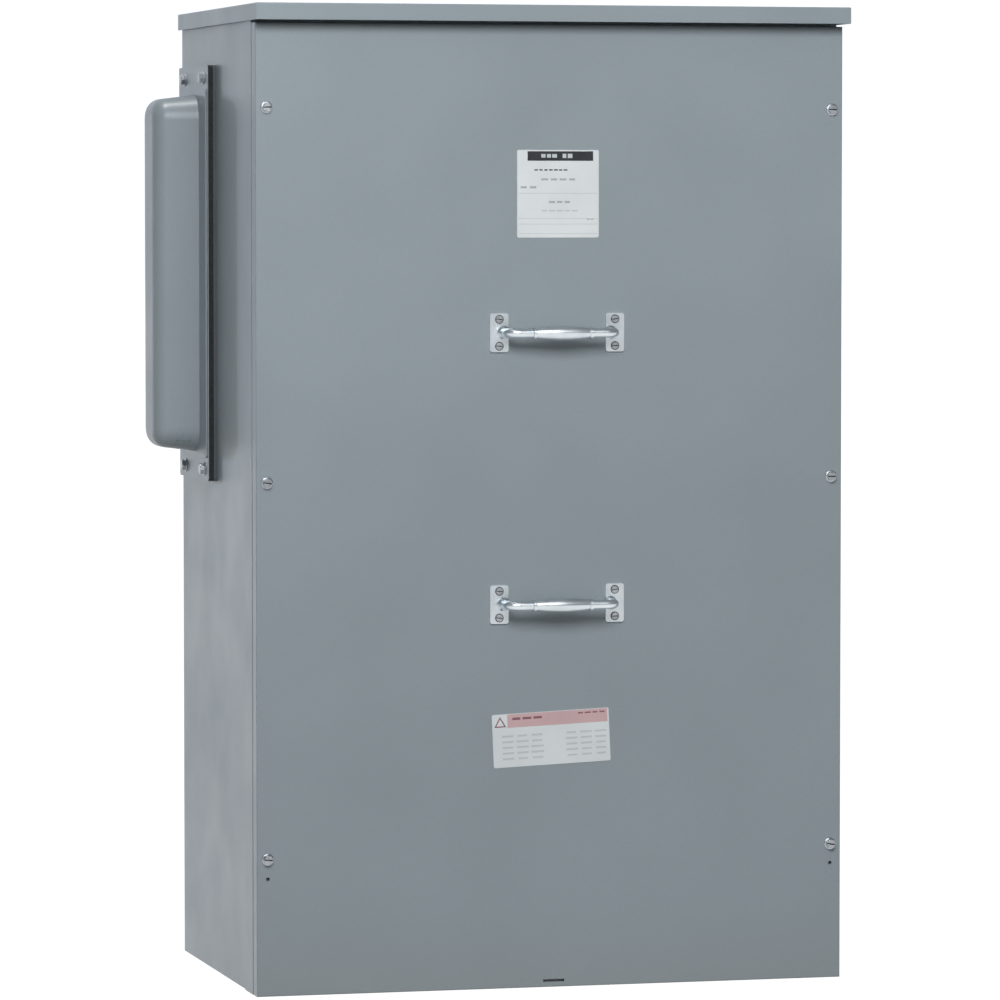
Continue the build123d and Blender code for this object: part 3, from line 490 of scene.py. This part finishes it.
COVER_FACE = -237.0
COVER_SCREWS = [(x, z) for x in (-371.0, 371.0) for z in (174.0, 649.0, 1120.0)]
PLATE_FACE = -395.0
OPERATOR_BOLTS = [(y, z) for y in (38.0, 157.0) for z in (655.0, 1162.0)]
SHANK_R = 3.9
SHANK_LENGTH = 16.0
FULL_SPIN = 0.16
PULL_CENTRES = [(5.5, 836.0), (5.5, 491.0)]
PULL_FOOT = 76.0
PULL_LEG = 70.0
PULL_SCREW_OFFSET = 17.0
PULL_PLATE_FACE = -240.0
PULL_BAR_Y = -268.0
PULL_COLLAR = 37.0

# head forms above the face they sit on: a profile is (radius, height) pairs, a rise is the two
# heights of a prism, and a slot is its width and depth
COVER_FLANGE = [(7.8, 0.0), (7.8, 0.7), (6.4, 1.6)]
COVER_HEX_R = 6.2
COVER_HEX_RISE = (1.6, 7.0)
COVER_SLOT = (1.5, 2.2)
# painted shade in the cover screws: a black sheet at each slot's bottom, its size and its two heights
COVER_SLOT_SHADE = (10.4, 1.5)
COVER_SLOT_SHADE_RISE = (4.7, 4.9)
BOLT_WASHER = [(8.5, 0.0), (8.5, 1.6)]
BOLT_HEX_R = 7.4
BOLT_HEX_RISE = (1.6, 6.4)
BOLT_CROWN = [(5.9, 6.4), (5.5, 6.9)]
PAN_EDGE = [(4.8, 0.0), (4.6, 0.7)]
PAN_R = 4.3
PAN_RISE = (0.7, 1.8)
PAN_SLOT = (1.1, 0.9)
# painted shade in the pan screws: a black sheet at each slot's bottom, its size and its two heights, and a
# black disc under each head that shows as a dark ring round it
PAN_SLOT_SHADE = (8.2, 1.1)
PAN_SLOT_SHADE_RISE = (0.9, 1.0)
PAN_HEAD_SHADE_RING = [(5.6, 0.0), (5.6, 0.15)]
PAN_SHANK_R = 2.3
PAN_SHANK_LENGTH = 3.0
PAN_SIDES = 24
LEG_BOSS = [(8.8, 0.0), (8.4, 1.0), (6.9, 2.2), (6.1, 4.5)]
BAR_COLLAR = [(6.0, -2.6), (7.5, -1.9), (7.5, 1.9), (6.0, 2.6)]


def spun(place):
    """The frame turned a little about its own w, as a hand-driven screw stops where it stops."""
    return place @ Matrix.Rotation(random.uniform(-FULL_SPIN, FULL_SPIN), 4, "Z")


def cover_screws():
    """Slotted hex washer-head screws in the cover, with painted shade, a black sheet, at the bottom of their
    slots.
    """
    bm = bmesh.new()
    shade_marks = bmesh.new()
    for x, z in COVER_SCREWS:
        place = spun(front(x, COVER_FACE, z))
        # painted shade: the black sheet at the bottom of the slot
        prism(shade_marks, place, rectangle(0.0, 0.0, *COVER_SLOT_SHADE), *COVER_SLOT_SHADE_RISE)
        turned(bm, place, COVER_FLANGE)
        slotted(bm, place, polygon(COVER_HEX_R, 6), *COVER_HEX_RISE, *COVER_SLOT)
        threaded(bm, place, SHANK_R, SHANK_LENGTH)
    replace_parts(piece("cover_hex_screws", bm, "zinc_fastener", "front_cover", bevel=0.35), "cover_screws")
    piece("cover_screw_slot_shade", shade_marks, "zinc_fastener", "front_cover", PRINT["black"])


def operator_bolts():
    """Hex bolts with plain washers at the operator's four corners."""
    bm = bmesh.new()
    for y, z in OPERATOR_BOLTS:
        place = spun(left(PLATE_FACE, y, z))
        turned(bm, place, BOLT_WASHER)
        prism(bm, place, polygon(BOLT_HEX_R, 6), *BOLT_HEX_RISE)
        turned(bm, place, BOLT_CROWN)
        threaded(bm, place, SHANK_R, SHANK_LENGTH)
    bolts = piece("operator_hex_bolts", bm, "zinc_fastener", "cabinet", bevel=0.35)
    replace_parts(bolts, "operator_plate_bolts")


def pull_details():
    """Pan-head screws in the footplates with painted shade in their slots and round their heads, a welded
    boss at each leg, a collar at each barrel end.
    """
    screws = bmesh.new()
    shade_marks = bmesh.new()
    rings = bmesh.new()
    for x, z in PULL_CENTRES:
        for side in (-1, 1):
            for dz in (-PULL_SCREW_OFFSET, PULL_SCREW_OFFSET):
                place = spun(front(x + side * PULL_FOOT, PULL_PLATE_FACE, z + dz))
                turned(screws, place, PAN_EDGE, PAN_SIDES)
                slotted(screws, place, polygon(PAN_R, PAN_SIDES), *PAN_RISE, *PAN_SLOT)
                # painted shade: a black sheet at the slot's bottom and a black disc showing as a dark ring
                # round the head
                prism(shade_marks, place, rectangle(0.0, 0.0, *PAN_SLOT_SHADE), *PAN_SLOT_SHADE_RISE)
                turned(shade_marks, place, PAN_HEAD_SHADE_RING, PAN_SIDES)
                threaded(screws, place, PAN_SHANK_R, PAN_SHANK_LENGTH)
            turned(rings, front(x + side * PULL_LEG, PULL_PLATE_FACE, z), LEG_BOSS)
            collar = facing((x + side * PULL_COLLAR, PULL_BAR_Y, z), (0, 1, 0), (1, 0, 0))
            turned(rings, collar, BAR_COLLAR)
    heads = piece("pull_pan_screws", screws, "zinc_fastener", "front_cover", bevel=0.2)
    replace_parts(heads, "cover_handle_screws")
    piece("pull_screw_painted_shade", shade_marks, "zinc_fastener", "front_cover", PRINT["black"])
    piece("pull_collars", rings, "pull_metal", "front_cover")


# ------------------------------------------------------------------ plates, printed with plain bars

FILM = 0.6
INK = 0.1
RATING_FRAME = front(7.0, COVER_FACE - FILM, 1012.5)
SAFETY_FRAME = front(-1.5, COVER_FACE - FILM, 319.6) @ Matrix.Rotation(math.radians(2.5), 4, "Z")
TRIANGLE_AT = (-66.5, 22.0, 0.0)


def printed(name, place, ink, marks, slot, lift=0.0):
    """Bars of one ink: each mark is its centre, width and height on the plate."""
    bm = bmesh.new()
    for mark in marks:
        prism(bm, place, rectangle(*mark), lift, lift + INK)
    piece(name, bm, slot, "front_cover", PRINT[ink])


def dashes(u, v, wide, tall, count):
    """A line of dashes that stands for a line of print."""
    pitch = wide / count
    return [(u - wide / 2 + (i + 0.5) * pitch, v, pitch * random.uniform(0.62, 0.86), tall)
            for i in range(count)]


def rating_print():
    """The upper plate: a dark band, a title, lines of dashes and ruled lines."""
    printed("rating_band", RATING_FRAME, "black", [(3.0, 47.2, 86.0, 12.0)], "label_film")
    printed("rating_band_marks", RATING_FRAME, "pale",
            dashes(-12.0, 47.4, 22.0, 4.6, 3) + dashes(12.0, 47.4, 15.0, 5.4, 2), "label_film", INK)
    printed("rating_title", RATING_FRAME, "black", dashes(-9.5, 29.6, 45.0, 1.7, 7), "label_film")
    lines = dashes(0.5, 17.6, 48.0, 2.4, 4) + dashes(-39.0, 7.6, 25.0, 2.6, 2)
    lines += dashes(2.0, -11.0, 30.0, 2.6, 3) + dashes(42.0, -33.0, 10.0, 1.2, 2)
    printed("rating_lines", RATING_FRAME, "grey", lines, "label_film")
    rules = [(0.0, v, 103.0, 0.7) for v in (0.0, -32.0, -39.0, -51.0)]
    printed("rating_rules", RATING_FRAME, "pale", rules + dashes(2.0, -22.0, 50.0, 1.8, 5), "label_film")


def safety_print():
    """The lower plate: a faded band, an empty triangle and two columns of dashes."""
    printed("safety_band", SAFETY_FRAME, "red", [(9.0, 25.0, 132.0, 17.0)], "safety_film")
    printed("safety_band_marks", SAFETY_FRAME, "dark_red",
            dashes(-31.0, 27.5, 42.0, 3.0, 3) + dashes(54.0, 29.5, 38.0, 1.8, 4), "safety_film", INK)
    rows = [5.5 - 7.2 * i for i in range(5)]
    columns = [mark for v in rows for u in (-38.0, 46.0) for mark in dashes(u, v, 58.0, 2.4, 3)]
    printed("safety_lines", SAFETY_FRAME, "pale", columns, "safety_film")
    place = SAFETY_FRAME @ Matrix.Translation(TRIANGLE_AT) @ Matrix.Rotation(math.pi / 2, 4, "Z")
    for name, radius, ink, lift in (("safety_triangle", 9.0, "dark_red", 0.0),
                                    ("safety_triangle_field", 6.0, "white", INK)):
        bm = bmesh.new()
        prism(bm, place, polygon(radius, 3), lift, lift + INK)
        piece(name, bm, "safety_film", "front_cover", PRINT[ink])


# ------------------------------------------------------------------ fittings inside the case

PANEL_FACE = 212.0
PANEL_NUTS = [(x, z) for x in (-300.0, 300.0) for z in (360.0, 1150.0)]
CONTROLLER_AT = (-245.0, 160.0, 525.0)
CONTROLLER_SCREWS = [(u, v) for u in (-82.0, 82.0) for v in (-64.0, 64.0)]
CAP_PROFILE = [(7.4, 0.0), (8.3, 0.8), (8.3, 11.2), (7.4, 12.0)]

# rows of clamp screws: where the row starts, its length, y, z, how many screws and their radius
CLAMP_ROWS = ((-340.0, 190.0, 188.0, 402.5, 12, 3.6),
              (-60.0, 250.0, 187.0, 362.5, 10, 3.7),
              (-120.0, 240.0, 219.0, 130.0, 10, 3.7))


def panel_nuts():
    """Washers, nuts and stud ends at the mounting panel's corners."""
    bm = bmesh.new()
    for x, z in PANEL_NUTS:
        place = spun(front(x, PANEL_FACE, z))
        turned(bm, place, [(11.0, 0.0), (11.0, 1.8)])
        prism(bm, place, polygon(8.0, 6), 1.8, 7.5)
        turned(bm, place, [(4.0, 7.5), (4.0, 11.0), (3.2, 11.8)], 20)
    piece("panel_nuts", bm, "zinc_fastener", "cabinet", bevel=0.4)


def row_screws():
    """Slotted clamp screws on the terminal strip and on the neutral and ground bars."""
    bm = bmesh.new()
    for start, length, y, z, count, radius in CLAMP_ROWS:
        pitch = length / count
        for i in range(count):
            place = front(start + (i + 0.5) * pitch, y, z)
            place = place @ Matrix.Rotation(random.uniform(0.0, math.pi), 4, "Z")
            slotted(bm, place, polygon(radius, 20), 0.0, 1.4, 1.0, 1.0)
    piece("clamp_screw_heads", bm, "zinc_fastener", "cabinet", bevel=0.15)


def fuse_caps():
    """Bright end caps on the three cartridge fuses."""
    bm = bmesh.new()
    for x in (243.0, 275.0, 307.0):
        for z in (606.5, 646.5):
            place = facing((x, 182.0, z), (1, 0, 0), (0, 0, 1))
            turned(bm, place, CAP_PROFILE)
    piece("fuse_end_caps", bm, "copper", "cabinet")


def controller_front():
    """The controller's fascia: a raised rim, corner screws and plain bars by the lamps and buttons."""
    rim = bmesh.new()
    place = front(*CONTROLLER_AT)
    for u, v, wide, tall in ((0.0, 69.0, 176.0, 2.0), (0.0, -69.0, 176.0, 2.0),
                             (-87.0, 0.0, 2.0, 136.0), (87.0, 0.0, 2.0, 136.0)):
        prism(rim, place, rectangle(u, v, wide, tall), -0.2, 1.2)
    piece("controller_rim", rim, "controller_plastic", "cabinet", bevel=0.4)
    marks = bmesh.new()
    bars = dashes(-50.0, -38.0, 66.0, 1.6, 4) + dashes(40.0, -38.0, 44.0, 1.6, 2)
    bars += dashes(60.0, 40.0, 40.0, 2.4, 3) + dashes(60.0, 32.0, 40.0, 1.4, 5)
    bars += dashes(60.0, 26.0, 40.0, 1.4, 4)
    for mark in bars:
        prism(marks, place, rectangle(*mark), 0.0, INK)
    piece("controller_print", marks, "controller_plastic", "cabinet", PRINT["pale"])
    screws = bmesh.new()
    for u, v in CONTROLLER_SCREWS:
        corner = spun(place @ Matrix.Translation((u, v, 0.0)))
        slotted(screws, corner, polygon(3.0, 20), 0.0, 1.2, 0.8, 0.7)
    piece("controller_screws", screws, "zinc_fastener", "cabinet", bevel=0.15)


cover_screws()
operator_bolts()
pull_details()
rating_print()
safety_print()
panel_nuts()
row_screws()
fuse_caps()
controller_front()


# ------------------------------------------------------------------ stage, lights, camera

FLOOR_SIZE = 120.0


def stage_floor():
    """A wide pale floor that meets the pale backdrop far behind the object."""
    mesh = bpy.data.meshes.new("floor")
    corners = [(u, v, 0.0) for u, v in rectangle(0.0, 0.0, FLOOR_SIZE, FLOOR_SIZE)]
    mesh.from_pydata(corners, [], [(0, 1, 2, 3)])
    floor = bpy.data.objects.new("floor", mesh)
    bpy.context.collection.objects.link(floor)
    s = Shader("pale_floor", (0.02, 0.02, 0.02), 0.9)
    s.bsdf.inputs["Emission Color"].default_value = (1.0, 1.0, 1.0, 1.0)
    s.bsdf.inputs["Emission Strength"].default_value = FLOOR_GLOW
    mesh.materials.append(s.mat)
    floor.visible_diffuse = False


def area_light(name, at, aim, size, power, color, glossy=True, diffuse=True):
    """A rectangular light at a point, turned to its aim; it can be kept out of mirrors or off matt paint."""
    data = bpy.data.lights.new(name, "AREA")
    data.shape = "RECTANGLE"
    data.size, data.size_y = size
    data.energy = power
    data.color = color
    lamp = bpy.data.objects.new(name, data)
    lamp.location = at
    lamp.rotation_euler = (Vector(aim) - Vector(at)).to_track_quat("-Z", "Y").to_euler()
    lamp.visible_glossy = glossy
    lamp.visible_diffuse = diffuse
    bpy.context.collection.objects.link(lamp)


def mapped(nodes, links, value, low, high):
    """A world node that maps value between low and high to 0 and 1 until its ends are set."""
    made = nodes.new("ShaderNodeMapRange")
    made.inputs["From Min"].default_value = low
    made.inputs["From Max"].default_value = high
    links.new(value, made.inputs["Value"])
    return made


def chosen(nodes, links, factor, a):
    """A world node that mixes the output a with a number in its B socket."""
    made = nodes.new("ShaderNodeMix")
    links.new(factor, made.inputs["Factor"])
    links.new(a, made.inputs["A"])
    return made


def surroundings():
    """Soft fill that grows with height, a backdrop for mirrors and a brighter one for the camera."""
    world = bpy.data.worlds.new("studio")
    world.use_nodes = True
    nodes = world.node_tree.nodes
    links = world.node_tree.links
    sky = nodes["Background"]
    sky.inputs["Color"].default_value = (0.95, 0.98, 1.02, 1.0)
    direction = nodes.new("ShaderNodeTexCoord")
    split = nodes.new("ShaderNodeSeparateXYZ")
    links.new(direction.outputs["Generated"], split.inputs["Vector"])
    ray = nodes.new("ShaderNodeLightPath")
    fill = mapped(nodes, links, split.outputs["Z"], -0.35, 0.45)
    fill.inputs["To Min"].default_value = FILL_BELOW
    fill.inputs["To Max"].default_value = FILL_ABOVE
    behind = mapped(nodes, links, split.outputs["Y"], 0.1, 0.6)
    mirrored = nodes.new("ShaderNodeMath")
    mirrored.operation = "MULTIPLY"
    links.new(behind.outputs["Result"], mirrored.inputs[0])
    links.new(ray.outputs["Is Glossy Ray"], mirrored.inputs[1])
    backdrop = chosen(nodes, links, mirrored.outputs["Value"], fill.outputs["Result"])
    backdrop.inputs["B"].default_value = BACKDROP_MIRRORED
    strength = chosen(nodes, links, ray.outputs["Is Camera Ray"], backdrop.outputs["Result"])
    strength.inputs["B"].default_value = BACKDROP_SEEN
    links.new(strength.outputs["Result"], sky.inputs["Strength"])
    bpy.context.scene.world = world


def lamps():
    """A key from the left and behind, a box in front, and an overhead strip that only mirrors show."""
    area_light("key", (-3.1, 7.2, 1.2), (-0.40, 0.0, 0.90), (0.25, 0.35), KEY_POWER,
               (0.84, 0.93, 1.06), glossy=False)
    area_light("front_box", (-0.70, -3.6, 2.7), (0.0, -0.24, 0.75), (2.4, 1.4), FRONT_POWER,
               (0.96, 1.0, 1.01))
    area_light("overhead_strip", (-0.62, -0.10, 2.9), (-0.42, 0.07, 1.12), (0.35, 0.5), STRIP_POWER,
               (1.0, 1.0, 1.0), diffuse=False)


def camera():
    """The one camera, with a picture made without tone mapping."""
    bpy.context.scene.view_settings.view_transform = "Standard"
    data = bpy.data.cameras.new("camera")
    data.lens = CAMERA_LENS
    data.clip_end = 200.0
    obj = bpy.data.objects.new("camera", data)
    obj.location = CAMERA_AT
    obj.rotation_euler = (math.radians(90.0 + CAMERA_TIP), 0.0, math.radians(-CAMERA_TURN))
    bpy.context.collection.objects.link(obj)
    bpy.context.scene.camera = obj


stage_floor()
surroundings()
lamps()
camera()
